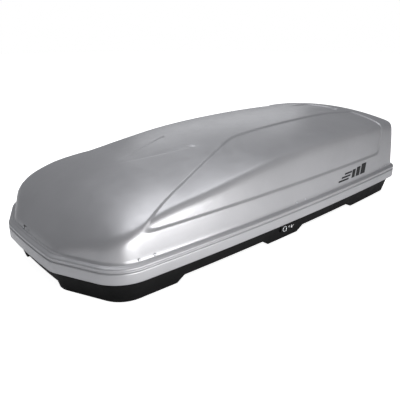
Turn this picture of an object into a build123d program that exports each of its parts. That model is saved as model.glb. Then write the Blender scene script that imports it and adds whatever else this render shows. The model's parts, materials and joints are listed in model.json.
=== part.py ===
"""Roof cargo box: drafted plastic lid on a stepped tub, hinged along one long side.

Millimetres. X runs along the box with the nose at -X, the lock side is -Y, the hinge side is +Y.
The origin is below the middle of the box, on the plane of the tub's lowest floor.
"""
from build123d import *
from math import cos, exp, hypot, radians, sin, sqrt
import os

os.makedirs("parts", exist_ok=True)

# ---------------------------------------------------------------- plan shape of the rim
box_length = 1980  # nose tip to middle of the tail
nose_half = 188  # half width of the nose's blunt front facet
nose_bow = 5  # how far the front facet bulges forwards
corner_back = 125  # front corner's distance behind the nose tip
corner_half = 442  # half width at the front corner
mid_half = 467  # half width at the middle of the bowed sides
tail_half = 438  # half width at the tail corner
tail_bow = 22  # how far the tail bulges backwards
facet_radius = 117
corner_radius = 157
tail_radius = 100

# ---------------------------------------------------------------- tub
rim_z = 92  # lower edge of the lid above the lowest floor
tub_skin = 3.2
tub_lip = 36  # how far the tub's edge reaches up inside the lid's band
floor_inset = 46  # tub's outer face in from the rim outline, at the lowest floor
edge_inset = 12  # the same at the tub's top edge
step_rise = 28  # roof bar zones are this much higher than the lowest floor
step_slope = 30  # run of a step's sloping end
front_step = (-610, -118)  # front roof bar zone along X
rear_step = (80, 545)  # rear roof bar zone along X
arch_half = 150  # half width of the raised floor behind the nose
seal_height = 6
seal_width = 6

# ---------------------------------------------------------------- lid
lid_skin = 3.2
band_skin = 6.5  # thickness of the rolled band round the lid's edge
groove_low = 42  # groove above the band's lower edge
groove_width = 6
groove_depth = 3
shoulder_low = 60  # underside of the ledge between band and dome, above the band's edge
shoulder_high = 66
dome_inset = 18  # dome's foot in from the rim outline
draft = 0.089  # inward slope of the dome's walls
shoulder_radius = 60  # rounding between the walls and the roof
corner_blend = 110  # how softly the dome's front facets run into its sides
bead_inset = 1  # band above the groove, in from the rim
bead_height = 15
ledge_inset = 8  # thin ledge between band and dome, in from the rim
wall_overlap = 5  # dome's hollow reaches this far down into the band's hollow
crown = 44 / 400**2  # roof's fall towards its sides, per mm squared
roof_top = 355  # highest point above the band's lower edge
roof_top_back = 1466  # its distance behind the nose tip
roof_sag = 72.1e-6  # fall away from the highest point, per mm squared
nose_drop = 143.6  # extra fall at the nose, dying out over nose_reach
nose_reach = 107

# ---------------------------------------------------------------- roof bar slots and rails
slot_pitch = 664  # between the two roof bars
slot_middle = -36  # middle of the pattern along X
slot_track = 600  # between the left and right slots
slot_length = 240
slot_width = 9
rail_width = 46
rail_skin = 2
rail_lip = 12
rail_overhang = 62  # rail beyond the slots' centres, less half a slot

# ---------------------------------------------------------------- hinges
hinge_y = 450
hinge_z = 86
hinge_places = {"front": -600, "middle": 0, "rear": 600}
hinge_width = 62
knuckle_width = 20
knuckle_radius = 5
hinge_pin_radius = 2.5
leaf_skin = 2
leaf_gap = 0.5
leaf_height = 33
base_plate_skin = 3
hinge_gap = 0.5
plate_z = (40, 70)  # lower plate on the tub's wall
plate_rivet_z = 54
plate_rivet = 22  # each side of the hinge's middle
arm_low = 60  # underside of the arms that carry the knuckles
arm_high = 84
leaf_rivet_z = 112
leaf_rivet = 20  # each side of the hinge's middle
leaf_rise = 1.5  # underside of the knuckle's web above the hinge axis
web_skin = 3
pin_head = 2
rivet_hole_reach = 9  # holes are cut this far to each side of a wall's outer face

# ---------------------------------------------------------------- lock, bar, hooks and catches
lock_x = -40
lock_z = 57
barrel_radius = 9
barrel_length = 32
lock_face = 443  # outer face of the lock's housing, from the centre plane
housing_radius = 12.3
housing_z = (lock_z - 17, lock_z + 17)
housing_x = (lock_x - 22, lock_x + 66)
housing_corner = 10
housing_short = 3  # housing's tube is this much shorter than the barrel
ring_rise = 2.5
ring_lip = 1.5  # ring's overlap round the housing's tube
barrel_rise = 1.5
key_slot = (2.4, 10, 11.5)  # width, height and depth
nut_height = 6
screw_radius = 2.5
screw_reach = 9
screw_hole_reach = 10
screw_head = 3
cam_skin = 3
cam_radius = 19
bar_travel = 20
crank_radius = bar_travel / sqrt(2)  # a quarter turn, centred on the bar's level, gives the travel
crank_pin_radius = 3
bar_face = 396  # outer face of the lock bar, from the centre plane
bar_skin = 3
bar_low = 58
bar_high = 80
bar_rear = 790
guide_places = (-540, -220, 260, 600)
guide_width = 18
guide_z = (50, 88)
guide_depth = 6  # guide's plate inside the bar
hook_skin = 2.5
hook_low = 106
hook_high = 113
hook_rivet_z = 69
hook_rivet = 7  # each side of the hook's root
hook_lead = 3  # slant of the finger's tip and of its back
hook_root = 12  # hook's finger root to the middle of its rivets
hook_tail = 26
catch_places = {"front": -749, "middle": 56, "rear": 808}
catch_spread = 60  # between a catch's two rivets
catch_rivet_z = 165
finger_gap = 6  # between an open hook's finger and its catch
root_gap = 2  # between a locked hook's root and its catch
hook_reach = bar_travel - finger_gap + root_gap
foot_low = 98
foot_high = 104
foot_reach = 16  # a catch's foot, forwards of its leg
shelf_half = 20
flange_z = (150, 182)
flange_end = 10  # flange beyond its rivets

# ---------------------------------------------------------------- nose locator
tongue_middle = 56  # across the box
tongue_z = (104, 173)
tongue_root = 26  # half width where it is riveted
tongue_rivet = 20
tongue_tip = 16  # half width at its end
tongue_neck = 20
tongue_lead = 4
pocket_z = (84, 118)
pocket_side = 31.5  # half width inside
pocket_room = 3  # behind the tongue
wall_room = 0.3  # between the tongue and the lid's front wall

# ---------------------------------------------------------------- lid lifters
lifter_places = {"front": -690, "rear": 700}
lifter_low = (325, 55)  # lower pivot, Y and Z
lifter_high = (390, 190)  # upper pivot, Y and Z
lifter_tube_radius = 9
lifter_bore_radius = 7.5
lifter_rod_radius = 4
lifter_pin_radius = 4
foot_skin = 2.5
lifter_open_gap = 3.6  # free play round the stud at the upper pivot
eye_radius = 8
eye_width = 10
neck_radius = 4.8  # flat enough to pass between the foot's cheeks
tube_start = 20  # from the lower pivot
tube_short = 18  # tube's end from the upper pivot
tube_wall_end = 6
tube_bore_start = 30
piston = (40, 48)  # from the lower pivot
stud_reach = 8
stud_head = 2
cheek_gap = 1
cheek_top = 10  # above and beside the lower pivot
foot_half = 26
foot_rivet = 16
bracket_rivets = (16, 34)  # beyond the lifter's middle, along X
bracket_end = 44
bracket_half = 22
bracket_nose = 14
bracket_corner = 8

# ---------------------------------------------------------------- fasteners and fits
rivet_radius = 2.4
rivet_head_radius = 4.8
rivet_head = 1.6
head_rise = 1.5  # rivet heads stand off the tub's sloping walls by this much
flush_seat = rivet_head + 0.1  # sunk rivet heads under the lowest floor
head_gap = 0.8  # and off the dome's steeper walls by this much
hole_gap = 0.05  # rivets and pins in their holes, on the radius
turn_gap = 0.06  # turning and sliding fits, on the radius
slide_gap = 0.35  # lock bar in its guides
crank_gap = 0.6  # crank pin in the bar's slot

nose_x = -box_length / 2
tail_x = nose_x + box_length - tail_bow
corner_x = nose_x + corner_back
tub_height = rim_z + tub_lip
dome_z = rim_z + shoulder_high


# ---------------------------------------------------------------- shape rules
def side_half(x):
    """Half width of the rim at x, on the bow through front corner, middle and tail corner."""
    s = (x - corner_x) / (tail_x - corner_x)
    return corner_half * (1 - s) * (1 - 2 * s) + 4 * mid_half * s * (1 - s) - tail_half * s * (1 - 2 * s)


def tub_inset(z):
    """Tub's outer face in from the rim outline at height z."""
    return floor_inset - (floor_inset - edge_inset) * z / tub_height


def tub_wall(x, z):
    """Distance of the tub's outer side face from the centre plane."""
    return side_half(x) - tub_inset(z)


def lid_wall(x, z):
    """Distance of the dome's outer side face from the centre plane."""
    return side_half(x) - dome_inset - draft * (z - dome_z)


def roof_height(x):
    """Roof above the lid's lower edge on the centre line."""
    back = x - nose_x
    return roof_top - roof_sag * (back - roof_top_back) ** 2 - nose_drop * exp(-back / nose_reach)


def rounding(gap, radius):
    """Fall of a quarter circle at a distance gap from its edge."""
    if gap >= radius:
        return 0
    return radius - sqrt(radius**2 - (radius - gap) ** 2)


def soft_min(a, b, blend):
    """The smaller of two values, rounded off where they differ by less than blend."""
    near = max(blend - abs(a - b), 0) / blend
    return min(a, b) - near**2 * blend / 4


# ---------------------------------------------------------------- drawing helpers
def block(x, y, z, mode=Mode.ADD):
    """Add a box given by its limits along X, Y and Z."""
    with Locations(((x[0] + x[1]) / 2, (y[0] + y[1]) / 2, (z[0] + z[1]) / 2)):
        Box(x[1] - x[0], y[1] - y[0], z[1] - z[0], mode=mode)


def prism_along_x(points, x, mode=Mode.ADD):
    """Extrude a Y, Z outline between two values of X."""
    with BuildSketch(Plane.YZ.offset(x[0])) as outline:
        with BuildLine():
            Polyline(*points, close=True)
        make_face()
    extrude(outline.sketch, amount=x[1] - x[0], mode=mode)


def prism_along_y(points, y, mode=Mode.ADD):
    """Extrude an X, Z outline between two values of Y."""
    with BuildSketch(Plane((0, y[1], 0), x_dir=(1, 0, 0), z_dir=(0, -1, 0))) as outline:
        with BuildLine():
            Polyline(*points, close=True)
        make_face()
    extrude(outline.sketch, amount=y[1] - y[0], mode=mode)


def rod(start, end, radius, mode=Mode.ADD):
    """Add a cylinder from one point to another."""
    span = Vector(*end) - Vector(*start)
    with BuildSketch(Plane(start, z_dir=span)) as disc:
        Circle(radius)
    extrude(disc.sketch, amount=span.length, mode=mode)


def rivet(start, end):
    """A rivet whose shank fills start to end, with a head beyond each."""
    along = (Vector(*end) - Vector(*start)).normalized() * rivet_head
    rod(start, end, rivet_radius)
    rod(Vector(*start) - along, start, rivet_head_radius)
    rod(end, Vector(*end) + along, rivet_head_radius)


def rivet_hole(start, end):
    rod(start, end, rivet_radius + hole_gap, mode=Mode.SUBTRACT)


def wall_hole(x, y, z):
    """A rivet's hole along Y through a side wall whose face is at y."""
    rivet_hole((x, y - rivet_hole_reach, z), (x, y + rivet_hole_reach, z))


def save(piece, name):
    piece.part.label = name
    export_step(piece.part, f"parts/{name}.step")


# ---------------------------------------------------------------- rim outline
with BuildSketch() as rim_plan:
    with BuildLine():
        ThreePointArc((nose_x + nose_bow, -nose_half), (nose_x, 0), (nose_x + nose_bow, nose_half))
        Line((nose_x + nose_bow, nose_half), (corner_x, corner_half))
        ThreePointArc((corner_x, corner_half), ((corner_x + tail_x) / 2, mid_half), (tail_x, tail_half))
        ThreePointArc((tail_x, tail_half), (box_length / 2, 0), (tail_x, -tail_half))
        ThreePointArc((tail_x, -tail_half), ((corner_x + tail_x) / 2, -mid_half), (corner_x, -corner_half))
        Line((corner_x, -corner_half), (nose_x + nose_bow, -nose_half))
    make_face()
    pairs = rim_plan.vertices().group_by(Axis.X)
    fillet(pairs[0], facet_radius)
    fillet(rim_plan.vertices().filter_by_position(Axis.X, corner_x - 1, corner_x + 1), corner_radius)
    fillet(rim_plan.vertices().filter_by_position(Axis.X, tail_x - 1, tail_x + 1), tail_radius)


def plan_at(z, inset):
    """The rim's outline at height z, moved inwards by inset."""
    with BuildSketch(Plane.XY.offset(z)) as outline:
        add(rim_plan.sketch)
        if inset:
            offset(amount=-inset)
    return outline.sketch


# ---------------------------------------------------------------- tub
def raised_floor(grow):
    """The space under the raised zones, made larger by grow on every side but the bottom."""
    top = step_rise + grow
    with BuildPart() as space:
        for low, high in (front_step, rear_step):
            run = step_slope
            outline = [(low - grow, -1), (low - grow + run, top), (high + grow - run, top), (high + grow, -1)]
            prism_along_y(outline, (-mid_half, mid_half))
        block((nose_x, front_step[0] + step_slope), (-arch_half - grow, arch_half + grow), (-1, top))
    return space.part


with BuildPart() as tub_cavity:
    loft([plan_at(tub_skin, tub_inset(tub_skin) + tub_skin), plan_at(tub_height, edge_inset + tub_skin)])
    add(raised_floor(tub_skin), mode=Mode.SUBTRACT)

slot_centres = [
    (slot_middle + sx * slot_pitch / 2, sy * slot_track / 2) for sx in (-1, 1) for sy in (-1, 1)
]
rail_floor = step_rise + tub_skin
rail_ends = (
    slot_middle - slot_pitch / 2 - slot_length / 2 - rail_overhang,
    slot_middle + slot_pitch / 2 + slot_length / 2 + rail_overhang,
)
rail_rivet_x = (rail_ends[0] + 24, slot_middle - slot_pitch / 2 + slot_length / 2 + 30,
                slot_middle + slot_pitch / 2 - slot_length / 2 - 30, rail_ends[1] - 24)

with BuildPart() as floor_rivets:
    for x in rail_rivet_x:
        for side in (-1, 1):
            y = side * slot_track / 2
            rivet((x, y, step_rise), (x, y, rail_floor + rail_skin))
    for x in lifter_places.values():
        for y in (lifter_low[0] - foot_rivet, lifter_low[0] + foot_rivet):
            rivet((x, y, flush_seat), (x, y, tub_skin + foot_skin))
save(floor_rivets, "floor_rivets")

with BuildPart() as base_tub:
    loft([plan_at(0, floor_inset), plan_at(tub_height, edge_inset)])
    add(raised_floor(0), mode=Mode.SUBTRACT)
    add(tub_cavity.part, mode=Mode.SUBTRACT)
    with BuildSketch(Plane.XY) as slots:
        with Locations(*slot_centres):
            SlotOverall(slot_length, slot_width)
    extrude(slots.sketch, amount=rail_floor + 1, mode=Mode.SUBTRACT)
    ends = (lock_x, -lock_face, lock_z), (lock_x, -bar_face, lock_z)
    rod(*ends, housing_radius + hole_gap, mode=Mode.SUBTRACT)
    for x in rail_rivet_x:
        for side in (-1, 1):
            rivet_hole((x, side * slot_track / 2, 0), (x, side * slot_track / 2, rail_floor))
    for x in lifter_places.values():
        for y in (lifter_low[0] - foot_rivet, lifter_low[0] + foot_rivet):
            rivet_hole((x, y, -1), (x, y, tub_skin + 1))
            rod((x, y, 0), (x, y, flush_seat), rivet_head_radius + hole_gap, mode=Mode.SUBTRACT)
    for x in hinge_places.values():
        for dx in (-plate_rivet, plate_rivet):
            wall_hole(x + dx, tub_wall(x + dx, plate_rivet_z), plate_rivet_z)
save(base_tub, "base_tub")

with BuildPart() as rim_seal:
    ring_inset = edge_inset + tub_skin / 2 - seal_width / 2
    extrude(plan_at(tub_height, ring_inset), amount=seal_height)
    extrude(plan_at(tub_height, ring_inset + seal_width), amount=seal_height, mode=Mode.SUBTRACT)
save(rim_seal, "rim_seal")

# ---------------------------------------------------------------- floor rails
for side, name in ((1, "floor_rail_hinge_side"), (-1, "floor_rail_lock_side")):
    y = side * slot_track / 2
    with BuildPart() as floor_rail:
        rail_top = rail_floor + rail_lip
        block(rail_ends, (y - rail_width / 2, y + rail_width / 2), (rail_floor, rail_top))
        inner = rail_width / 2 - rail_skin
        block(rail_ends, (y - inner, y + inner), (rail_floor + rail_skin, rail_top), mode=Mode.SUBTRACT)
        with BuildSketch(Plane.XY.offset(rail_floor)) as rail_slots:
            with Locations(*[(sx, sy) for sx, sy in slot_centres if sy == y]):
                SlotOverall(slot_length, slot_width)
        extrude(rail_slots.sketch, amount=rail_skin, mode=Mode.SUBTRACT)
        for x in rail_rivet_x:
            rivet_hole((x, y, rail_floor), (x, y, rail_floor + rail_skin))
    save(floor_rail, name)

# ---------------------------------------------------------------- hinges
with BuildPart() as hinge_base_rivets:
    for x in hinge_places.values():
        outer = tub_wall(x, plate_rivet_z) + base_plate_skin + head_rise
        for dx in (-plate_rivet, plate_rivet):
            inner = tub_wall(x + dx, plate_rivet_z) - tub_skin - head_rise
            rivet((x + dx, inner, plate_rivet_z), (x + dx, outer, plate_rivet_z))
save(hinge_base_rivets, "hinge_base_rivets")

with BuildPart() as hinge_leaf_rivets:
    for x in hinge_places.values():
        inner = side_half(x) - band_skin - leaf_skin - leaf_gap
        for dx in (-leaf_rivet, leaf_rivet):
            outer = side_half(x + dx) + leaf_gap
            rivet((x + dx, inner, leaf_rivet_z), (x + dx, outer, leaf_rivet_z))
save(hinge_leaf_rivets, "hinge_leaf_rivets")

with BuildPart() as band_ring:
    extrude(plan_at(rim_z, 0), amount=shoulder_low)
    extrude(plan_at(rim_z, band_skin), amount=shoulder_low, mode=Mode.SUBTRACT)

for place, x in hinge_places.items():
    span = (x - hinge_width / 2, x + hinge_width / 2)
    gap = (x - knuckle_width / 2 - hinge_gap, x + knuckle_width / 2 + hinge_gap)
    with BuildPart() as hinge_base:
        plate = [(tub_wall(x, z), z) for z in plate_z]
        plate += [(y + base_plate_skin, z) for y, z in reversed(plate)]
        prism_along_x(plate, span)
        wall = tub_wall(x, arm_low)
        arm = [(wall, arm_low), (wall + base_plate_skin, arm_low), (hinge_y + 3, hinge_z - 4)]
        arm += [(hinge_y, hinge_z + 3), (tub_wall(x, arm_high), arm_high)]
        prism_along_x(arm, (span[0], gap[0]))
        prism_along_x(arm, (gap[1], span[1]))
        rod((span[0], hinge_y, hinge_z), (span[1], hinge_y, hinge_z), knuckle_radius)
        ends = (span[0], hinge_y, hinge_z), (span[1], hinge_y, hinge_z)
        rod((gap[0], hinge_y, hinge_z), (gap[1], hinge_y, hinge_z), knuckle_radius + 1.5, mode=Mode.SUBTRACT)
        rod(*ends, hinge_pin_radius + hole_gap, mode=Mode.SUBTRACT)
        add(base_tub.part, mode=Mode.SUBTRACT)
        wall = tub_wall(x, plate_rivet_z)
        for dx in (-plate_rivet, plate_rivet):
            wall_hole(x + dx, wall, plate_rivet_z)
    save(hinge_base, f"hinge_base_{place}")

    with BuildPart() as hinge_pin:
        rod((span[0], hinge_y, hinge_z), (span[1], hinge_y, hinge_z), hinge_pin_radius)
        rod((span[0] - pin_head, hinge_y, hinge_z), (span[0], hinge_y, hinge_z), knuckle_radius - 1)
    save(hinge_pin, f"hinge_pin_{place}")

    with BuildPart() as hinge_leaf:
        outer = side_half(x) - band_skin - leaf_gap
        leaf_foot = rim_z + 2
        block(span, (outer - leaf_skin, outer), (leaf_foot, hinge_z + leaf_height + 6))
        knuckle = (x - knuckle_width / 2, x + knuckle_width / 2)
        web_low = hinge_z + leaf_rise
        block(knuckle, (outer - leaf_skin, outer), (web_low, leaf_foot))
        block(knuckle, sorted((hinge_y, outer)), (web_low, web_low + web_skin))
        ends = (knuckle[0], hinge_y, hinge_z), (knuckle[1], hinge_y, hinge_z)
        rod(*ends, knuckle_radius)
        rod(*ends, hinge_pin_radius + turn_gap, mode=Mode.SUBTRACT)
        add(band_ring.part, mode=Mode.SUBTRACT)
        for dx in (-leaf_rivet, leaf_rivet):
            rivet_hole((x + dx, outer - leaf_skin - 1, leaf_rivet_z), (x + dx, outer + 1, leaf_rivet_z))
    save(hinge_leaf, f"hinge_leaf_{place}")

# ---------------------------------------------------------------- lid
facet_slope = (corner_half - nose_half) / (corner_back - nose_bow)
dome_front_steps = (0, 25, 60, 110, 180, 300, 480, 730, 1030, 1330, 1600)  # cross-sections behind the nose
dome_rear_gaps = (160, 90, 50, 22, 7, 0)  # and ahead of the tail


def dome_section(x, tail_gap, skin, foot_z):
    """One cross-section of the dome at x, moved inwards by skin."""
    inset = dome_inset + skin
    facet = nose_half + (x - nose_x - nose_bow) * facet_slope - inset * hypot(1, facet_slope)
    foot_half = soft_min(facet, side_half(x) - inset, corner_blend)
    foot_half -= rounding(tail_gap, tail_radius - dome_inset)
    top = rim_z + roof_height(x) - skin - rounding(tail_gap, shoulder_radius)
    roof_half = foot_half - draft * (top - dome_z)
    edge = top - crown * roof_half**2
    foot_half += draft * (dome_z - foot_z)
    with BuildSketch(Plane((x, 0, 0), x_dir=(0, 1, 0), z_dir=(1, 0, 0))) as section:
        with BuildLine():
            Polyline((-roof_half, edge), (-foot_half, foot_z), (foot_half, foot_z), (roof_half, edge))
            ThreePointArc((roof_half, edge), (0, top), (-roof_half, edge))
        make_face()
        corners = section.vertices().filter_by_position(Axis.Y, edge - 1, edge + 1)
        low_edge_limit = 0.45 * (edge - foot_z)
        fillet(corners, min(shoulder_radius - skin, low_edge_limit))
    return section.sketch


def dome(skin, foot_z):
    """The dome's solid, skinned through its cross-sections from nose to tail."""
    front = nose_x + dome_inset + 2 + skin
    back = tail_x + tail_bow / 2 - dome_inset - skin
    stations = [front + step for step in dome_front_steps]
    stations += [back - gap for gap in dome_rear_gaps]
    return loft([dome_section(x, back - x, skin, foot_z) for x in stations], ruled=True, mode=Mode.PRIVATE)


with BuildPart() as lid_shell:
    levels = [(0, groove_low, 0), (groove_low, groove_low + groove_width, groove_depth)]
    bead_top = groove_low + groove_width + bead_height
    levels += [(groove_low + groove_width, bead_top, bead_inset), (bead_top, shoulder_high, ledge_inset)]
    for low, high, inset in levels:
        extrude(plan_at(rim_z + low, inset), amount=high - low)
    add(dome(0, rim_z + shoulder_low))
    extrude(plan_at(rim_z, band_skin), amount=shoulder_low, mode=Mode.SUBTRACT)
    add(dome(lid_skin, rim_z + shoulder_low - wall_overlap), mode=Mode.SUBTRACT)
    for x in catch_places.values():
        for dx in (-catch_spread / 2, catch_spread / 2):
            wall_hole(x + dx, -lid_wall(x + dx, catch_rivet_z), catch_rivet_z)
    for y in (tongue_middle - tongue_rivet, tongue_middle + tongue_rivet):
        rivet_hole((nose_x, y, catch_rivet_z), (nose_x + 40, y, catch_rivet_z))
    for x in hinge_places.values():
        for dx in (-leaf_rivet, leaf_rivet):
            wall_hole(x + dx, side_half(x + dx), leaf_rivet_z)
    for x in lifter_places.values():
        for dx in bracket_rivets:
            wall_hole(x + dx, lid_wall(x + dx, lifter_high[1]), lifter_high[1])
save(lid_shell, "lid_shell")


def wall_flange(x, z, hinge_side, skin):
    """A plate lying against the inside of the dome's wall, between two values of X and of Z."""
    middle = (x[0] + x[1]) / 2
    side = 1 if hinge_side else -1
    inner = [side * (lid_wall(middle, height) - lid_skin - leaf_gap) for height in z]
    outline = [(inner[0], z[0]), (inner[1], z[1])]
    outline += [(y - side * skin, height) for y, height in reversed(outline)]
    prism_along_x(outline, x)


# ---------------------------------------------------------------- catches on the lid
with BuildPart() as catch_rivets:
    for x in catch_places.values():
        for dx in (-catch_spread / 2, catch_spread / 2):
            outer = -lid_wall(x + dx, catch_rivet_z) - head_gap
            inner = -lid_wall(x, catch_rivet_z) + lid_skin + leaf_gap + hook_skin + head_gap
            rivet((x + dx, outer, catch_rivet_z), (x + dx, inner, catch_rivet_z))
save(catch_rivets, "catch_rivets")

hook_plane = (-bar_face - hook_skin, -bar_face)
for place, x in catch_places.items():
    with BuildPart() as catch:
        flange = (x - catch_spread / 2 - flange_end, x + catch_spread / 2 + flange_end)
        wall_flange(flange, flange_z, False, hook_skin)
        shelf_z = flange_z[0]
        shelf_outer = -lid_wall(x, shelf_z) + lid_skin + leaf_gap + 1
        block((x - shelf_half, x + shelf_half), (shelf_outer, hook_plane[1]), (shelf_z, shelf_z + hook_skin))
        leg = [(x, foot_high), (x - foot_reach, foot_high), (x - foot_reach, foot_low)]
        leg += [(x + foot_reach / 2, foot_low), (x + shelf_half, shelf_z), (x, shelf_z)]
        prism_along_y(leg, hook_plane)
        add(lid_shell.part, mode=Mode.SUBTRACT)
        for dx in (-catch_spread / 2, catch_spread / 2):
            wall = -lid_wall(x + dx, catch_rivet_z)
            rivet_hole((x + dx, wall, catch_rivet_z), (x + dx, wall + rivet_hole_reach, catch_rivet_z))
    save(catch, f"catch_{place}")

# ---------------------------------------------------------------- lock bar, hooks and guides
crank = (lock_x - crank_radius * sin(radians(45)), lock_z + crank_radius * cos(radians(45)))


def hook_rivet_places():
    """X of every hook rivet, from the catch its hook belongs to."""
    middles = [x - foot_reach - finger_gap - hook_reach - hook_root for x in catch_places.values()]
    return [middle + dx for middle in middles for dx in (-hook_rivet, hook_rivet)]


bar_front = catch_places["front"] - foot_reach - finger_gap - hook_reach - hook_tail
bar_ends = (bar_front, bar_rear)
with BuildPart() as lock_bar:
    block(bar_ends, (-bar_face, -bar_face + bar_skin), (bar_low, bar_high))
    slot_half = crank_pin_radius + crank_gap
    slot_z = (crank[1] - slot_half, lock_z + crank_radius + slot_half)
    slot_x = (crank[0] - slot_half, crank[0] + slot_half)
    block(slot_x, (-bar_face, -bar_face + bar_skin), slot_z, mode=Mode.SUBTRACT)
    for x in hook_rivet_places():
        rivet_hole((x, -bar_face, hook_rivet_z), (x, -bar_face + bar_skin, hook_rivet_z))
save(lock_bar, "lock_bar")

with BuildPart() as hook_rivets:
    for x in hook_rivet_places():
        rivet((x, -bar_face - hook_skin, hook_rivet_z), (x, -bar_face + bar_skin, hook_rivet_z))
save(hook_rivets, "hook_rivets")

for place, x in catch_places.items():
    tip = x - foot_reach - finger_gap
    root = tip - hook_reach
    with BuildPart() as hook:
        outline = [(root - hook_tail, bar_low), (root + 2, bar_low), (root + 2, bar_high), (root, hook_low)]
        outline += [(tip, hook_low), (tip - hook_lead, hook_high)]
        outline += [(root - hook_root + 2, hook_high), (root - hook_tail, bar_high)]
        prism_along_y(outline, hook_plane)
        for hole_x in (root - hook_root - hook_rivet, root - hook_root + hook_rivet):
            rivet_hole((hole_x, hook_plane[0], hook_rivet_z), (hole_x, hook_plane[1], hook_rivet_z))
    save(hook, f"hook_{place}")

for number, x in enumerate(guide_places, start=1):
    with BuildPart() as bar_guide:
        inner = -bar_face + bar_skin + guide_depth
        outline = [(-tub_wall(x, z) + tub_skin, z) for z in guide_z]
        outline += [(inner, z) for z in reversed(guide_z)]
        prism_along_x(outline, (x - guide_width / 2, x + guide_width / 2))
        add(base_tub.part, mode=Mode.SUBTRACT)
        block(
            (x - guide_width / 2, x + guide_width / 2),
            (-bar_face - slide_gap, -bar_face + bar_skin + slide_gap),
            (bar_low - slide_gap, bar_high + slide_gap),
            mode=Mode.SUBTRACT,
        )
    save(bar_guide, f"bar_guide_{number}")

# ---------------------------------------------------------------- lock
housing_inner = -lock_face + barrel_length - housing_short
with BuildPart() as lock_housing:
    plate = [(-tub_wall(lock_x, z), z) for z in housing_z] + [(-lock_face, z) for z in reversed(housing_z)]
    prism_along_x(plate, housing_x)
    fillet(lock_housing.edges().filter_by(Axis.Y), housing_corner)
    add(base_tub.part, mode=Mode.SUBTRACT)
    ends = (lock_x, -lock_face, lock_z), (lock_x, housing_inner, lock_z)
    rod(*ends, housing_radius)
    rod(*ends, barrel_radius + turn_gap, mode=Mode.SUBTRACT)
save(lock_housing, "lock_housing")

with BuildPart() as lock_ring:
    ends = (lock_x, -lock_face - ring_rise, lock_z), (lock_x, -lock_face, lock_z)
    rod(*ends, housing_radius + ring_lip)
    rod(*ends, barrel_radius + slide_gap, mode=Mode.SUBTRACT)
    fillet(lock_ring.edges().group_by(Axis.Y)[0], 1)
save(lock_ring, "lock_ring")

with BuildPart() as lock_nut:
    nut_outer = -tub_wall(lock_x, housing_z[0]) + tub_skin + hinge_gap
    with BuildSketch(Plane((lock_x, nut_outer, lock_z), x_dir=(1, 0, 0), z_dir=(0, 1, 0))) as nut_outline:
        RegularPolygon(housing_radius + 6, 6)
        Circle(housing_radius + hole_gap, mode=Mode.SUBTRACT)
    extrude(nut_outline.sketch, amount=nut_height)
save(lock_nut, "lock_nut")

with BuildPart() as lock_barrel:
    barrel_inner = -lock_face + barrel_length
    barrel_outer = -lock_face - barrel_rise
    rod((lock_x, barrel_outer, lock_z), (lock_x, barrel_inner, lock_z), barrel_radius)
    slot_x = (lock_x - key_slot[0] / 2, lock_x + key_slot[0] / 2)
    slot_z = (lock_z - key_slot[1] / 2, lock_z + key_slot[1] / 2)
    block(slot_x, (barrel_outer, barrel_outer + key_slot[2]), slot_z, mode=Mode.SUBTRACT)
    ends = (lock_x, barrel_inner - screw_hole_reach, lock_z), (lock_x, barrel_inner, lock_z)
    rod(*ends, screw_radius + hole_gap, mode=Mode.SUBTRACT)
save(lock_barrel, "lock_barrel")

with BuildPart() as lock_cam:
    cam_face = barrel_inner + cam_skin
    rod((lock_x, barrel_inner, lock_z), (lock_x, cam_face, lock_z), cam_radius)
    rod((crank[0], cam_face, crank[1]), (crank[0], -bar_face + bar_skin + 2, crank[1]), crank_pin_radius)
    ends = (lock_x, barrel_inner, lock_z), (lock_x, cam_face, lock_z)
    rod(*ends, screw_radius + hole_gap, mode=Mode.SUBTRACT)
save(lock_cam, "lock_cam")

with BuildPart() as cam_screw:
    rod((lock_x, barrel_inner - screw_reach, lock_z), (lock_x, cam_face, lock_z), screw_radius)
    rod((lock_x, cam_face, lock_z), (lock_x, cam_face + screw_head, lock_z), rivet_head_radius)
save(cam_screw, "cam_screw")

# ---------------------------------------------------------------- nose locator
tongue_front = nose_x + dome_inset + 2 + lid_skin + wall_room
tongue_rivets = (tongue_middle - tongue_rivet, tongue_middle + tongue_rivet)
with BuildPart() as nose_locator:
    low, high = tongue_z
    half_outline = [(tongue_root, high), (tongue_neck, low + tongue_lead), (tongue_tip, low)]
    tongue = [(tongue_middle - half, z) for half, z in half_outline]
    tongue += [(tongue_middle + half, z) for half, z in reversed(half_outline)]
    prism_along_x(tongue, (tongue_front, tongue_front + hook_skin))
    for y in tongue_rivets:
        rivet_hole((tongue_front, y, catch_rivet_z), (tongue_front + hook_skin, y, catch_rivet_z))
save(nose_locator, "nose_locator")

with BuildPart() as nose_rivets:
    for y in tongue_rivets:
        rivet((nose_x + dome_inset + 2, y, catch_rivet_z), (tongue_front + hook_skin, y, catch_rivet_z))
save(nose_rivets, "nose_rivets")

with BuildPart() as nose_receiver:
    pocket_back = tongue_front + hook_skin + pocket_room
    pocket_y = (tongue_middle - pocket_side, tongue_middle + pocket_side)
    pocket_wall = (pocket_y[0] - hook_skin, pocket_y[1] + hook_skin)
    block((nose_x, pocket_back + hook_skin), pocket_wall, pocket_z)
    block((nose_x, pocket_back), pocket_y, pocket_z, mode=Mode.SUBTRACT)
    add(tub_cavity.part, mode=Mode.INTERSECT)
save(nose_receiver, "nose_receiver")

# ---------------------------------------------------------------- lid lifters
low = Vector(0, *lifter_low)
high = Vector(0, *lifter_high)
lifter_length = (high - low).length
along = (high - low) / lifter_length


def on_lifter(x, distance, dx=0):
    """A point on the lifter's centre line, measured from its lower pivot."""
    point = low + along * distance
    return (x + dx, point.Y, point.Z)


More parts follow.
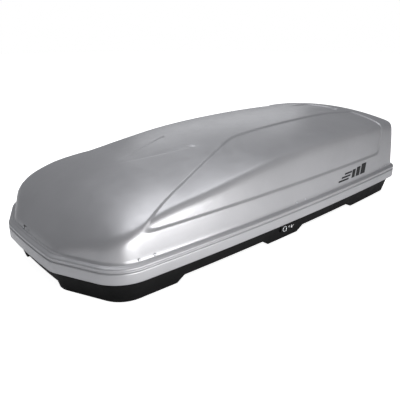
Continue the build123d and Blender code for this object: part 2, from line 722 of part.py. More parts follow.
with BuildPart() as lifter_rivets:
    for x in lifter_places.values():
        for dx in bracket_rivets:
            outer = lid_wall(x + dx, lifter_high[1]) + head_gap
            inner = lid_wall(x + bracket_rivets[1], lifter_high[1])
            inner -= lid_skin + leaf_gap + hook_skin + head_gap
            rivet((x + dx, inner, lifter_high[1]), (x + dx, outer, lifter_high[1]))
save(lifter_rivets, "lifter_rivets")

for place, x in lifter_places.items():
    half = eye_width / 2
    cheek = half + cheek_gap + hook_skin
    tube_end = lifter_length - tube_short
    with BuildPart() as lifter_foot:
        foot_y = (lifter_low[0] - foot_half, lifter_low[0] + foot_half)
        foot_top = tub_skin + foot_skin
        block((x - cheek, x + cheek), foot_y, (tub_skin, foot_top))
        for side in (-1, 1):
            inner, outer = sorted((side * (half + cheek_gap), side * cheek))
            outline = [(foot_y[0] + 2, foot_top), (foot_y[1] - 2, foot_top)]
            outline += [(lifter_low[0] + dy, lifter_low[1] + cheek_top) for dy in (cheek_top, -cheek_top)]
            prism_along_x(outline, (x + inner, x + outer))
        rod(on_lifter(x, 0, -cheek), on_lifter(x, 0, cheek), lifter_pin_radius + hole_gap, mode=Mode.SUBTRACT)
        for y in (lifter_low[0] - foot_rivet, lifter_low[0] + foot_rivet):
            rivet_hole((x, y, tub_skin), (x, y, foot_top))
    save(lifter_foot, f"lifter_foot_{place}")

    with BuildPart() as lifter_pin:
        rod(on_lifter(x, 0, -cheek - 1), on_lifter(x, 0, cheek + 1), lifter_pin_radius)
    save(lifter_pin, f"lifter_pin_{place}")

    with BuildPart() as lifter_tube:
        rod(on_lifter(x, tube_start), on_lifter(x, tube_end), lifter_tube_radius)
        rod(on_lifter(x, 0), on_lifter(x, tube_start + 2), neck_radius)
        rod(on_lifter(x, 0, -half), on_lifter(x, 0, half), eye_radius)
        bore_end = tube_end - tube_wall_end
        rod(on_lifter(x, tube_bore_start), on_lifter(x, bore_end), lifter_bore_radius, mode=Mode.SUBTRACT)
        throat = lifter_rod_radius + turn_gap
        rod(on_lifter(x, bore_end - 1), on_lifter(x, tube_end), throat, mode=Mode.SUBTRACT)
        rod(on_lifter(x, 0, -cheek), on_lifter(x, 0, cheek), lifter_pin_radius + turn_gap, mode=Mode.SUBTRACT)
    save(lifter_tube, f"lifter_tube_{place}")

    with BuildPart() as lifter_rod:
        stud = half + stud_reach
        rod(on_lifter(x, piston[0]), on_lifter(x, lifter_length - lifter_rod_radius), lifter_rod_radius)
        rod(on_lifter(x, piston[0]), on_lifter(x, piston[1]), lifter_bore_radius - turn_gap)
        rod(on_lifter(x, lifter_length, -half), on_lifter(x, lifter_length, half), eye_radius)
        rod(on_lifter(x, lifter_length, half), on_lifter(x, lifter_length, stud), lifter_pin_radius)
        stud_end = on_lifter(x, lifter_length, stud)
        rod(on_lifter(x, lifter_length, stud - stud_head), stud_end, eye_radius + 1.5)
    save(lifter_rod, f"lifter_rod_{place}")

    with BuildPart() as lifter_bracket:
        plate = (x + half + 2, x + half + 4)
        wall = lid_wall(x, lifter_high[1]) - lid_skin - leaf_gap - 1
        root_z = (lifter_high[1] - bracket_half, lifter_high[1] + bracket_half)
        y, z = lifter_high
        outline = [(y - bracket_nose, z - bracket_corner), (y - bracket_corner, z - bracket_nose)]
        outline += [(lid_wall(x, root) - lid_skin - leaf_gap - 1, root) for root in root_z]
        outline += [(y - bracket_corner, z + bracket_nose), (y - bracket_nose, z + bracket_corner)]
        prism_along_x(outline, plate)
        wall_flange((plate[0], x + bracket_end), root_z, True, hook_skin)
        add(lid_shell.part, mode=Mode.SUBTRACT)
        gap_radius = lifter_pin_radius + lifter_open_gap
        ends = on_lifter(x, lifter_length), on_lifter(x, lifter_length, cheek + 2)
        rod(*ends, gap_radius, mode=Mode.SUBTRACT)
        for dx in bracket_rivets:
            wall_hole(x + dx, wall, lifter_high[1])
    save(lifter_bracket, f"lifter_bracket_{place}")
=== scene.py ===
"""Roof cargo box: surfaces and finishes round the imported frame.

Metres in the scene, millimetres in the shape rules. X runs along the box with the nose at -X, the lock
side is -Y, the hinge side is +Y. "Back" is the distance behind the nose, "rise" the height above the
lid's lower edge.
"""
import json
import math

import bpy
import numpy as np
from bpy.props import FloatProperty, FloatVectorProperty, IntProperty, PointerProperty, StringProperty
from mathutils import Matrix, Vector


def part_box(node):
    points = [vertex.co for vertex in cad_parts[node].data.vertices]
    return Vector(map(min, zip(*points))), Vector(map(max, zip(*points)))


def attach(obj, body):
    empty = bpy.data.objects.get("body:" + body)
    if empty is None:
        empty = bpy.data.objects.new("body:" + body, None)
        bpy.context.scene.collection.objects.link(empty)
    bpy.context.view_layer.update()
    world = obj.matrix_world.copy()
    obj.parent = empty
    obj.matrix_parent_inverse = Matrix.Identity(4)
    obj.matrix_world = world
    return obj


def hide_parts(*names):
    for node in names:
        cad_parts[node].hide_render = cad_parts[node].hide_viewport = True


bl_info = {
    "name": "Roof cargo box",
    "version": (1, 0, 0),
    "blender": (4, 5, 0),
    "location": "3D View > Sidebar > Roof box",
    "description": "Builds the surfaces and finishes of a hinged roof cargo box",
    "category": "Object",
}

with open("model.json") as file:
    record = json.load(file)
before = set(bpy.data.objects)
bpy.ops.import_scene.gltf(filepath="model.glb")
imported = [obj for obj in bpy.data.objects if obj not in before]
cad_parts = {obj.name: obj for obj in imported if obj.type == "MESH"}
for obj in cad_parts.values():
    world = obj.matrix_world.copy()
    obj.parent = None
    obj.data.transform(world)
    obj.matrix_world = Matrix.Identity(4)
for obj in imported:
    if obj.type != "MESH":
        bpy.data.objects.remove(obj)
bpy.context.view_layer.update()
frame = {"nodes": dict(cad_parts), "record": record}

# ---------------------------------------------------------------- sizes, in millimetres
MM = 0.001
lid_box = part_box("lid_shell")
nose_x = lid_box[0][0] / MM
rim_z = lid_box[0][2] / MM
ring_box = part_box("lock_ring")
housing_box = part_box("lock_housing")

# corners of the polygon whose rounding gives the rim: back, y and radius, from the nose to the tail
RIM_CORNERS = (
    (5, 188, 117),
    (-1.9, 0, 3000),
    (5, -188, 117),
    (125, -442, 157),
    (1041, -486.5, 15200),
    (1958, -438, 100),
    (1991.4, 0, 4000),
    (1958, 438, 100),
)
# roof height above the lid's lower edge along the centre line: back, rise
ROOF_STATIONS = (
    (0, 61), (98, 157), (196, 217), (294, 251), (392, 269.2), (490, 280.2), (685, 307.2),
    (881, 331.7), (1077, 345.5), (1273, 351.8), (1468, 353.8), (1664, 351.2), (1860, 343.3), (1970, 336.2),
)
# band round the lid's edge, from the underside up to the dome's foot: inset from the rim, rise
BAND_PROFILE = (
    (4.2, 0.0), (2.6, 0.1), (1.0, 0.8), (0.15, 2.4), (0.0, 5.0), (0.0, 20.0), (0.0, 36.5), (0.3, 39.2),
    (1.3, 41.2), (2.9, 42.6), (3.8, 44.2), (3.9, 46.2), (3.0, 48.2), (1.4, 49.8), (0.6, 52.0), (0.8, 55.4),
    (2.2, 58.4), (5.4, 60.4), (10.4, 61.6), (14.6, 62.9), (16.8, 64.8),
)
BAND_INSIDE = ((5.8, 0.6), (6.5, 2.4), (6.5, 28.0), (6.6, 52.0), (9.0, 56.4), (14.0, 58.2), (18.6, 60.0))
# length along the rim, back of its point on the spine
SPINE_STATIONS = ((0, 160), (469, 262), (2302, 1735), (2745, 1838))


# ---------------------------------------------------------------- shape rules
def smooth_curve(stations, at):
    """Cubic pieces through the stations, whose slopes are those of the parabola through each three."""
    x, y = np.array(stations, float).T
    slope = np.gradient(y, x, edge_order=2)
    k = np.clip(np.searchsorted(x, at) - 1, 0, len(x) - 2)
    span = x[k + 1] - x[k]
    t = (at - x[k]) / span
    rise = (2 * t**3 - 3 * t**2 + 1) * y[k] + (3 * t**2 - 2 * t**3) * y[k + 1]
    return rise + span * ((t**3 - 2 * t**2 + t) * slope[k] + (t**3 - t**2) * slope[k + 1])


def ease(value, width):
    """0 below minus half the width, 1 above plus half, and a cubic S between."""
    t = np.clip(value / width + 0.5, 0, 1)
    return t * t * (3 - 2 * t)


def soft_min(a, b, blend):
    """The smaller of two fields, rounded off by a parabola where they differ by less than blend."""
    near = np.clip(blend - np.abs(a - b), 0, None) / blend
    return np.minimum(a, b) - near**2 * blend / 4


def rim_half(count, crowd=None):
    """Half the rim, from the middle of the nose round the lock side to the middle of the tail.

    Each polygon corner gives way to the arc that touches both its sides; points are spaced along the
    length in proportion to 1 / (1 + crowd). Returns x, y, the outward normal and the length so far.
    """
    back, y, radius = np.array(RIM_CORNERS, float).T
    heading = np.arctan2(np.diff(y), np.diff(back))
    turn = np.diff(heading)
    reach = radius[1:-1] * np.tan(turn / 2)
    start = np.stack((back[1:-1] - reach * np.cos(heading[:-1]), y[1:-1] - reach * np.sin(heading[:-1])))
    centre = start + radius[1:-1] * np.stack((-np.sin(heading[:-1]), np.cos(heading[:-1])))
    steps = 401
    angle = heading[:-1, None] + turn[:, None] * np.linspace(0, 1, steps)
    bow = centre[:, :, None] + radius[1:-1, None] * np.stack((np.sin(angle), -np.cos(angle)))
    cut = slice(steps // 2, -(steps // 2))
    bow_x, bow_y, angle = bow[0].ravel()[cut], bow[1].ravel()[cut], angle.ravel()[cut]
    length = np.concatenate(([0], np.cumsum(np.hypot(np.diff(bow_x), np.diff(bow_y)))))
    even = np.linspace(0, length[-1], 4000)
    weight = np.ones_like(even)
    if crowd is not None:
        weight += crowd(np.interp(even, length, bow_x))
    filled = np.concatenate(([0], np.cumsum((weight[1:] + weight[:-1]) / 2)))
    at = np.interp(np.linspace(0, filled[-1], count + 1), filled, even)
    around = [np.interp(at, length, part) for part in (bow_x, bow_y, angle)]
    around[1][0] = around[1][-1] = 0
    return nose_x + around[0], around[1], np.sin(around[2]), -np.cos(around[2]), at


def both_halves(half):
    """A closed ring of columns from its lock side half, mirrored across the centre plane."""
    other = half[-2:0:-1].copy()
    other[..., 1] *= -1
    return np.concatenate((half, other))


def surface_normals(points):
    """Unit normals of a grid of points: the cross product of its two directions' differences."""
    along = np.gradient(points, axis=0)
    up = np.gradient(points, axis=1)
    normal = np.cross(along, up)
    return normal / np.maximum(np.linalg.norm(normal, axis=-1, keepdims=True), 1e-9)


def spread_rows(points, weight, count):
    """Each column of a fine grid sampled again at count points, equally spaced in length times weight."""
    step = np.linalg.norm(np.diff(points, axis=1), axis=-1) * (weight[:, 1:] + weight[:, :-1]) / 2
    run = np.concatenate((np.zeros((len(points), 1)), np.cumsum(step, axis=1)), axis=1)
    run /= run[:, -1:]
    shift = 2.0 * np.arange(len(points))[:, None]
    wanted = (np.linspace(0, 1, count)[None, :] + shift).ravel()
    source = (run + shift).ravel()
    flat = points.reshape(-1, points.shape[-1])
    out = np.stack([np.interp(wanted, source, flat[:, k]) for k in range(flat.shape[1])], axis=-1)
    return out.reshape(len(points), count, -1)


def panel_edge(back, y, rise, sizes):
    """Signed distance inside the sunk side panel: the smaller of the distances to its four sides."""
    side = np.abs(y)
    front = 0.373 * (back - sizes.panel_front) + 0.928 * (side - 406)
    inner = soft_min(side - sizes.panel_top, 0.969 * (side - sizes.panel_top) - 0.247 * (back - 1664), 30)
    rear = 0.96 * (sizes.panel_rear + 0.295 * (rise - 160) + 0.15 * np.maximum(379 - side, 0) - back)
    low = rise - sizes.panel_low
    return soft_min(soft_min(front, inner, 24), soft_min(rear, low, 26), 22)


def gill(back, y, sizes):
    """Share of full depth in the two roof gills, and where their outer edges are.

    Each gill runs from a point near the middle of the front to a blunt end further out and back: its
    depth grows with the distance from the front, drops sharply at the outer edge and rises gently inwards.
    """
    run = np.array(sizes.gill_rear) - np.array(sizes.gill_front)
    length = np.hypot(*run)
    from_front = back - sizes.gill_front[0], np.abs(y) - sizes.gill_front[1]
    along = (from_front[0] * run[0] + from_front[1] * run[1]) / length
    inwards = (from_front[0] * run[1] - from_front[1] * run[0]) / length
    share = np.clip(along / length, 0, 1)
    inner = np.maximum(inwards, 0)
    growth = share**1.2 * ease(length - along - 0.9 * inner - 8, 16)
    ramp = np.clip(1 - inner / (16 + 42 * share), 0, 1)
    outer_edge = np.exp(-((inwards / 9) ** 2)) * ease(length + 12 - along, 20)
    return growth * ease(inwards, 11) * ramp**1.5, outer_edge


def sunk(back, y, rise, sizes):
    """How far the dome's surface is let in by the panel, the gills and the step across the roof's rear."""
    panel = panel_edge(back, y, rise, sizes)
    gills, gill_edge = gill(back, y, sizes)
    side = np.abs(y)
    step = soft_min(sizes.step_back - 0.0006 * side**2 - back, 0.5 * (116 - side), 40)
    depth = sizes.panel_depth * ease(panel, sizes.panel_riser) + sizes.gill_depth * gills
    depth += sizes.step_depth * ease(step, 11) * ease(back - 1650, 320)
    crowd = np.exp(-((panel / 13) ** 2)) + gill_edge * ease(back - 420, 200)
    return depth, crowd + np.exp(-((step / 12) ** 2)) * ease(back - 1620, 200)


def dome_grid(x, y, out_x, out_y, length, sizes):
    """The dome's fine surface over half the rim.

    Plan: inwards along the rim's normal for 60 mm, then straight to the spine. Rise: the rounded
    minimum of a wall that climbs 1 / draft times the distance from the foot and a roof that follows
    the centre line's profile less a crown of y squared. The sunk shapes are moved in along the normal.
    """
    near_rows, far_rows, near_reach = 150, 169, 60
    near = np.linspace(0, 1, near_rows) ** 1.5 * near_reach
    far = np.linspace(0, 1, far_rows + 1)[1:]
    foot_x, foot_y = x - out_x * sizes.dome_inset, y - out_y * sizes.dome_inset
    plan = np.stack((foot_x[:, None] - out_x[:, None] * near, foot_y[:, None] - out_y[:, None] * near), -1)
    spine = np.stack((nose_x + smooth_curve(SPINE_STATIONS, length), np.zeros_like(length)), -1)
    reach = plan[:, -1:, :] + (spine[:, None, :] - plan[:, -1:, :]) * far[None, :, None]
    plan = np.concatenate((plan, reach), axis=1)
    run = np.linalg.norm(reach - plan[:, near_rows - 1:near_rows, :], axis=-1)
    inwards = np.concatenate((np.broadcast_to(near, (len(x), near_rows)), near_reach + run), axis=1)
    back = plan[..., 0] - nose_x
    wall = inwards / sizes.draft + 2000 * np.minimum(inwards / 120, 3) ** 6
    roof = smooth_curve(ROOF_STATIONS, back) - sizes.crown * plan[..., 1] ** 2 / 400**2 - sizes.dome_foot
    rise = (wall + roof - np.sqrt((wall - roof) ** 2 + sizes.shoulder**2)) / 2
    rise = np.minimum(wall, np.maximum(rise, 0)) + sizes.dome_foot
    points = np.concatenate((plan, (rim_z + rise)[..., None]), axis=-1)
    normal = surface_normals(points)
    depth, crowd = sunk(back, plan[..., 1], rise, sizes)
    points = points - normal * depth[..., None]
    points[:, -1, 1] = 0
    return points, crowd


def lid_wall_y(x, z, sizes):
    """Y of the dome's lock side face at x and z: the rounded minimum solved for the wall's climb."""
    rim_x, rim_y = rim_half(1200)[:2]
    half = np.interp(x, rim_x[30:-30], rim_y[30:-30])
    climb = z - rim_z - sizes.dome_foot
    roof = smooth_curve(ROOF_STATIONS, x - nose_x) - sizes.crown * (half / 400) ** 2 - sizes.dome_foot
    wall = climb + sizes.shoulder**2 / 4 / (roof - climb)
    return half + sizes.dome_inset + sizes.draft * wall


# ---------------------------------------------------------------- mesh helpers
def grid_quads(index):
    """Quads between neighbouring columns and rows of a grid of vertex numbers."""
    a, b = index[:-1, :-1], index[1:, :-1]
    c, d = index[1:, 1:], index[:-1, 1:]
    return np.stack((a, b, c, d), axis=-1).reshape(-1, 4)


def wrapped(index):
    """The grid with its first column repeated after the last."""
    return np.concatenate((index, index[:1]))


def turned_solid(profile, segments):
    """A solid of revolution about Z: the profile, radius and height, carried round; its ends are poles."""
    radius, height = np.array(profile, float).T
    turn = np.linspace(0, 2 * math.pi, segments + 1)[:-1, None]
    points = np.stack((radius * np.cos(turn), radius * np.sin(turn), height + 0 * turn), -1)
    index = np.arange(points[..., 0].size).reshape(points.shape[:2])
    index[:, 0], index[:, -1] = index[0, 0], index[0, -1]
    return points.reshape(-1, 3), grid_quads(wrapped(index))


def ribbon(path, width):
    """A flat strip of constant width along a path of X and Z points, as a grid two points wide."""
    path = np.array(path, float)
    along = np.gradient(path, axis=0)
    along /= np.linalg.norm(along, axis=1, keepdims=True)
    across = np.stack((-along[:, 1], along[:, 0]), -1) * width / 2
    return np.stack((path - across, path + across), axis=1)


def joined(parts):
    """Several (points, quads) pairs as one, their vertex numbers moved on."""
    starts = np.cumsum([0] + [len(points) for points, quads in parts[:-1]])
    return np.concatenate([points for points, quads in parts]), [
        quads + start for (points, quads), start in zip(parts, starts)
    ]


def without_flat_corners(quads):
    """Quads with two equal corners become triangles; the rest stay as they are."""
    flat = (quads[:, 0] == quads[:, 1]) | (quads[:, 2] == quads[:, 3])
    top = quads[flat & (quads[:, 2] == quads[:, 3])][:, :3]
    low = quads[flat & (quads[:, 0] == quads[:, 1])][:, 1:]
    return [quads[~flat], top, low]


def without_unused(points, faces):
    """The points that some face uses, and the faces renumbered to suit."""
    used = np.zeros(len(points), bool)
    for face in faces:
        used[face.ravel()] = True
    renumber = np.cumsum(used) - 1
    return points[used], [renumber[face] for face in faces]


def thicken(piece, depth):
    """Gives a flat piece a wall depth millimetres thick, half to each side."""
    wall = piece.modifiers.new("wall", "SOLIDIFY")
    wall.thickness = depth * MM
    wall.offset = 0


def make_piece(name, points, faces, material, body, replaces=(), smooth=True):
    """A mesh object at the origin from millimetre points and a list of face arrays."""
    mesh = bpy.data.meshes.new(name)
    points = np.asarray(points, float).reshape(-1, 3) * MM
    sizes = np.concatenate([np.full(len(f), f.shape[1]) for f in faces])
    corners = np.concatenate([f.ravel() for f in faces]).astype(np.int32)
    mesh.vertices.add(len(points))
    mesh.vertices.foreach_set("co", points.ravel())
    mesh.loops.add(len(corners))
    mesh.loops.foreach_set("vertex_index", corners)
    mesh.polygons.add(len(sizes))
    mesh.polygons.foreach_set("loop_start", np.concatenate(([0], np.cumsum(sizes)[:-1])).astype(np.int32))
    mesh.polygons.foreach_set("use_smooth", np.full(len(sizes), smooth))
    mesh.update(calc_edges=True)
    mesh.validate()
    mesh.materials.append(material)
    piece = bpy.data.objects.new(name, mesh)
    bpy.context.scene.collection.objects.link(piece)
    if body:
        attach(piece, body)
    if replaces:
        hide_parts(*replaces)
    return piece


# ---------------------------------------------------------------- materials
def linear(code):
    """A six digit sRGB hex colour as linear RGBA."""
    value = np.array([int(code[k:k + 2], 16) for k in (1, 3, 5)]) / 255
    value = np.where(value <= 0.04045, value / 12.92, ((value + 0.055) / 1.055) ** 2.4)
    return (*value.tolist(), 1.0)


def node(tree, kind, settings=None, links=None):
    """Adds a node, sets its properties or its inputs' values by name, and links sockets into it."""
    made = tree.nodes.new("ShaderNode" + kind)
    for key, value in (settings or {}).items():
        if hasattr(made, key):
            setattr(made, key, value)
        else:
            made.inputs[key].default_value = value
    for key, source in (links or {}).items():
        tree.links.new(source, made.inputs[key])
    return made


def blank(name):
    """An empty node material with its output, the Object coordinates and the Principled shader."""
    material = bpy.data.materials.new(name)
    material.use_nodes = True
    tree = material.node_tree
    tree.nodes.clear()
    shader = node(tree, "BsdfPrincipled")
    node(tree, "OutputMaterial", links={"Surface": shader.outputs["BSDF"]})
    place = node(tree, "TexCoord").outputs["Object"]
    return material, tree, shader, place


def grained(name, dark, light, roughness, grain, bump, metallic=0.0, ior=1.5, spread=0.06, blotch=0.25,
            specular=0.5):
    """A moulded, cast or painted surface.

    A broad noise moves the colour between dark and light, a fine one, grain millimetres across, gives
    the skin's texture as bump, and a third varies the roughness by spread.
    """
    material, tree, shader, place = blank(name)
    broad = node(tree, "TexNoise", {"Scale": 1 / blotch, "Detail": 4.0, "Roughness": 0.6}, {"Vector": place})
    fine = node(tree, "TexNoise", {"Scale": 1 / (grain * MM), "Detail": 2.0}, {"Vector": place})
    wear = node(tree, "TexNoise", {"Scale": 22.0, "Detail": 5.0, "Roughness": 0.7}, {"Vector": place})
    shade = node(tree, "MapRange", {"From Min": 0.35, "From Max": 0.65, "To Min": 0.0, "To Max": 1.0},
                 {"Value": broad.outputs["Fac"]})
    colour = node(tree, "Mix", {"data_type": "RGBA"}, {"Factor": shade.outputs["Result"]})
    colour.inputs[6].default_value = linear(dark)
    colour.inputs[7].default_value = linear(light)
    tree.links.new(colour.outputs[2], shader.inputs["Base Color"])
    rough = node(tree, "MapRange", {"From Min": 0.3, "From Max": 0.7, "To Min": roughness - spread,
                                    "To Max": roughness + spread}, {"Value": wear.outputs["Fac"]})
    tree.links.new(rough.outputs["Result"], shader.inputs["Roughness"])
    relief = node(tree, "Bump", {"Strength": bump, "Distance": 0.0004}, {"Height": fine.outputs["Fac"]})
    tree.links.new(relief.outputs["Normal"], shader.inputs["Normal"])
    shader.inputs["Metallic"].default_value = metallic
    shader.inputs["IOR"].default_value = ior
    shader.inputs["Specular IOR Level"].default_value = specular
    return material


def turned(name, dark, light, roughness, pitch, bump, axis="Y"):
    """Machined or plated metal: rings pitch millimetres apart across the axis, over a mottled tone."""
    material, tree, shader, place = blank(name)
    lines = node(tree, "TexWave", {"wave_type": "BANDS", "bands_direction": axis,
                                   "Scale": 0.314 / (pitch * MM), "Distortion": 1.5, "Detail": 2.0},
                 {"Vector": place})
    mottle = node(tree, "TexNoise", {"Scale": 60.0, "Detail": 4.0}, {"Vector": place})
    shade = node(tree, "MapRange", {"From Min": 0.3, "From Max": 0.7}, {"Value": mottle.outputs["Fac"]})
    colour = node(tree, "Mix", {"data_type": "RGBA"}, {"Factor": shade.outputs["Result"]})
    colour.inputs[6].default_value = linear(dark)
    colour.inputs[7].default_value = linear(light)
    tree.links.new(colour.outputs[2], shader.inputs["Base Color"])
    rough = node(tree, "MapRange", {"To Min": roughness - 0.05, "To Max": roughness + 0.08},
                 {"Value": mottle.outputs["Fac"]})
    tree.links.new(rough.outputs["Result"], shader.inputs["Roughness"])
    relief = node(tree, "Bump", {"Strength": bump, "Distance": 0.0002}, {"Height": lines.outputs["Fac"]})
    tree.links.new(relief.outputs["Normal"], shader.inputs["Normal"])
    shader.inputs["Metallic"].default_value = 1.0
    return material


_finishes = {}


def finish(name):
    """The object's materials, each made once."""
    if name in _finishes:
        return _finishes[name]
    look = bpy.context.scene.roof_box.finishes
    if name == "silver_abs":
        # vacuum formed ABS with mica in its cap layer: satin, softly clouded, with a faint orange peel
        made = grained("satin silver ABS", look.silver_dark, look.silver_light, look.silver_roughness, 2.6,
                       0.10, metallic=0.45, ior=1.54, spread=0.05, blotch=0.35)
    elif name == "black_abs":
        # vacuum formed black ABS: leathery embossed grain, dull, dusty in the hollows
        made = grained("embossed black ABS", "#030304", "#060607", 0.62, 1.5, 0.5, ior=1.54, spread=0.07,
                       blotch=0.2, specular=0.16)
    elif name == "rubber":
        # extruded EPDM: nearly black, matt, faintly bloomed
        made = grained("extruded EPDM rubber", "#101011", "#1A1A1B", 0.72, 1.0, 0.3, ior=1.52, blotch=0.1)
    elif name == "nylon":
        # injection moulded glass filled nylon: dark, fine spark texture
        made = grained("glass filled nylon", "#161618", "#1F1F21", 0.52, 0.8, 0.35, ior=1.53, blotch=0.06)
    elif name == "painted_steel":
        # powder coated steel strip: black with orange peel
        made = grained("powder coated steel", "#141416", "#1C1D20", 0.38, 1.8, 0.4, ior=1.5, blotch=0.12)
    elif name == "cast_zinc":
        # die cast zinc, tumbled: grey, softly mottled metal
        made = grained("die cast zinc", "#8C8E91", "#A5A7AA", 0.36, 0.9, 0.3, metallic=1.0, blotch=0.05)
    elif name == "dark_core_metal":
        # lock core: nearly black metal, finely turned, so the lock's centre is dark
        made = turned("dark lock core metal", "#2A2B2D", "#3A3B3E", 0.3, 0.7, 0.2, "Y")
    elif name == "zinc_plate":
        # bright zinc plated steel: bluish spangle over rolled sheet
        made = turned("zinc plated steel", "#A9AEB4", "#C7CBD0", 0.34, 1.2, 0.05, "X")
    elif name == "chrome":
        # polished chrome plate over a turned ring
        made = turned("chrome plate", "#D4D6D9", "#E6E8EA", 0.12, 0.8, 0.08, "Y")
    elif name == "steel_rod":
        # ground and polished piston rod
        made = turned("ground steel", "#B4B6B9", "#C9CBCE", 0.18, 0.9, 0.12, "Z")
    elif name == "rivet_aluminium":
        # upset aluminium: pale, with the setting tool's fine rings
        made = turned("upset aluminium rivet", "#B9BBBE", "#D2D4D7", 0.28, 0.9, 0.2, "Z")
    elif name == "vinyl":
        # die cut vinyl film: deep black, smooth, slightly glossier than the lid
        made = grained("cut black vinyl", "#050506", "#0A0A0B", 0.42, 3.0, 0.06, ior=1.52,
                       blotch=0.05, specular=0.25)
    elif name == "white_ink":
        # pad printed white ink: chalky, a little thin
        made = grained("pad printed white ink", "#D9DADB", "#F0F0F0", 0.5, 0.8, 0.1, ior=1.5, blotch=0.01)
    else:
        raise ValueError("no finish called " + name)
    _finishes[name] = made
    return made


# the first name that a part's name starts with gives its finish, so the longer names stand first
CARRIED_FINISHES = (
    ("base_tub", "black_abs"), ("rim_seal", "rubber"),
    ("floor_rail", "zinc_plate"), ("floor_rivets", "rivet_aluminium"),
    ("hinge_base_rivets", "rivet_aluminium"), ("hinge_leaf_rivets", "rivet_aluminium"),
    ("hinge_base", "painted_steel"), ("hinge_leaf", "painted_steel"), ("hinge_pin", "steel_rod"),
    ("lid_shell", "silver_abs"), ("catch_rivets", "rivet_aluminium"), ("catch", "painted_steel"),
    ("lock_barrel", "dark_core_metal"), ("lock_bar", "zinc_plate"),
    ("hook_rivets", "rivet_aluminium"), ("hook", "zinc_plate"), ("bar_guide", "nylon"),
    ("lock_housing", "black_abs"), ("lock_ring", "chrome"), ("lock_nut", "zinc_plate"),
    ("lock_cam", "cast_zinc"), ("cam_screw", "zinc_plate"),
    ("nose_locator", "painted_steel"), ("nose_rivets", "rivet_aluminium"), ("nose_receiver", "nylon"),
    ("lifter_foot", "painted_steel"), ("lifter_pin", "steel_rod"), ("lifter_tube", "painted_steel"),
    ("lifter_rod", "steel_rod"), ("lifter_bracket", "painted_steel"), ("lifter_rivets", "rivet_aluminium"),
)


NODE_BODY = {name: body for body, names in frame["record"]["behaviour"]["bodies"].items() for name in names}
# rivet groups: the rivets' axis, the axis along which they stand apart, and how far they stand back along X
RIVET_NODES = (
    ("catch_rivets", 1, 0, 0), ("hinge_leaf_rivets", 1, 0, 0), ("hinge_base_rivets", 1, 0, 0),
    ("hook_rivets", 1, 0, 0), ("lifter_rivets", 1, 0, 0), ("nose_rivets", 0, 1, 6.6),
)
# bars of the side mark: start and width as shares of its length, lower and upper end of its height
MARK_BARS = (
    (0.0, 0.32, 0.0, 0.16), (0.08, 0.28, 0.28, 0.44), (0.16, 0.24, 0.56, 0.72), (0.42, 0.1, 0.0, 0.78),
    (0.56, 0.12, 0.0, 0.86), (0.72, 0.16, 0.0, 1.0),
)


# ---------------------------------------------------------------- settings
class LidSizes(bpy.types.PropertyGroup):
    columns: IntProperty(name="Columns",
        description="Columns of faces round half the rim, a multiple of 3", default=450)
    rows: IntProperty(name="Rows", description="Rows of faces from the dome's foot to the spine", default=76)
    skin: FloatProperty(name="Skin", description="Wall thickness in millimetres", default=3.2)
    draft: FloatProperty(name="Draft", description="Inward slope of the dome's walls", default=0.089)
    dome_inset: FloatProperty(name="Dome inset",
        description="Dome's foot in from the rim, millimetres", default=17.6)
    dome_foot: FloatProperty(name="Dome foot",
        description="Dome's foot above the edge, millimetres", default=66.5)
    shoulder: FloatProperty(name="Shoulder",
        description="Rounding between walls and roof, millimetres", default=81.0)
    crown: FloatProperty(name="Crown", description="Roof's fall 400 mm off its centre line", default=43.5)
    panel_depth: FloatProperty(name="Panel depth",
        description="How far the side panels are let in", default=5.6)
    panel_riser: FloatProperty(name="Panel riser",
        description="Width of the panel's sloping edge", default=12.0)
    panel_front: FloatProperty(name="Panel front", description="Back of the panel's front tip", default=274.0)
    panel_top: FloatProperty(name="Panel top",
        description="Panel's upper edge from the centre plane", default=152.0)
    panel_rear: FloatProperty(name="Panel rear",
        description="Back of the panel's rear edge on the wall", default=1735.0)
    panel_low: FloatProperty(name="Panel low", description="Rise of the panel's lower edge", default=155.0)
    gill_front: FloatVectorProperty(name="Gill front",
        description="Back and half width of a gill's front", size=2, default=(345.0, -6.0))
    gill_rear: FloatVectorProperty(name="Gill rear",
        description="Back and half width of a gill's blunt end", size=2, default=(735.0, 122.0))
    gill_depth: FloatProperty(name="Gill depth", description="Depth at a gill's blunt end", default=4.5)
    step_back: FloatProperty(name="Step back", description="Back of the roof's rear step", default=1812.0)
    step_depth: FloatProperty(name="Step depth", description="Height of the rear step", default=7.5)


class FittingSizes(bpy.types.PropertyGroup):
    rivet_head: FloatProperty(name="Rivet head",
        description="Radius of a rivet's head, millimetres", default=4.8)
    rivet_rise: FloatProperty(name="Rivet rise",
        description="Height of a rivet's dome, millimetres", default=1.7)
    mark_start: FloatProperty(name="Mark start",
        description="X of the side mark's first bar, millimetres", default=352.0)
    mark_length: FloatProperty(name="Mark length",
        description="Length of the side mark, millimetres", default=280.0)
    mark_low: FloatProperty(name="Mark low",
        description="Z of the side mark's lower edge, millimetres", default=176.0)
    mark_height: FloatProperty(name="Mark height",
        description="Height of the side mark, millimetres", default=51.0)


class Finishes(bpy.types.PropertyGroup):
    silver_dark: StringProperty(name="Silver, dark",
        description="Darker tone of the lid, sRGB hex", default="#A6A6A9")
    silver_light: StringProperty(name="Silver, light",
        description="Lighter tone of the lid, sRGB hex", default="#ADADB0")
    silver_roughness: FloatProperty(name="Silver roughness",
        description="Roughness of the lid", default=0.36, subtype="FACTOR")


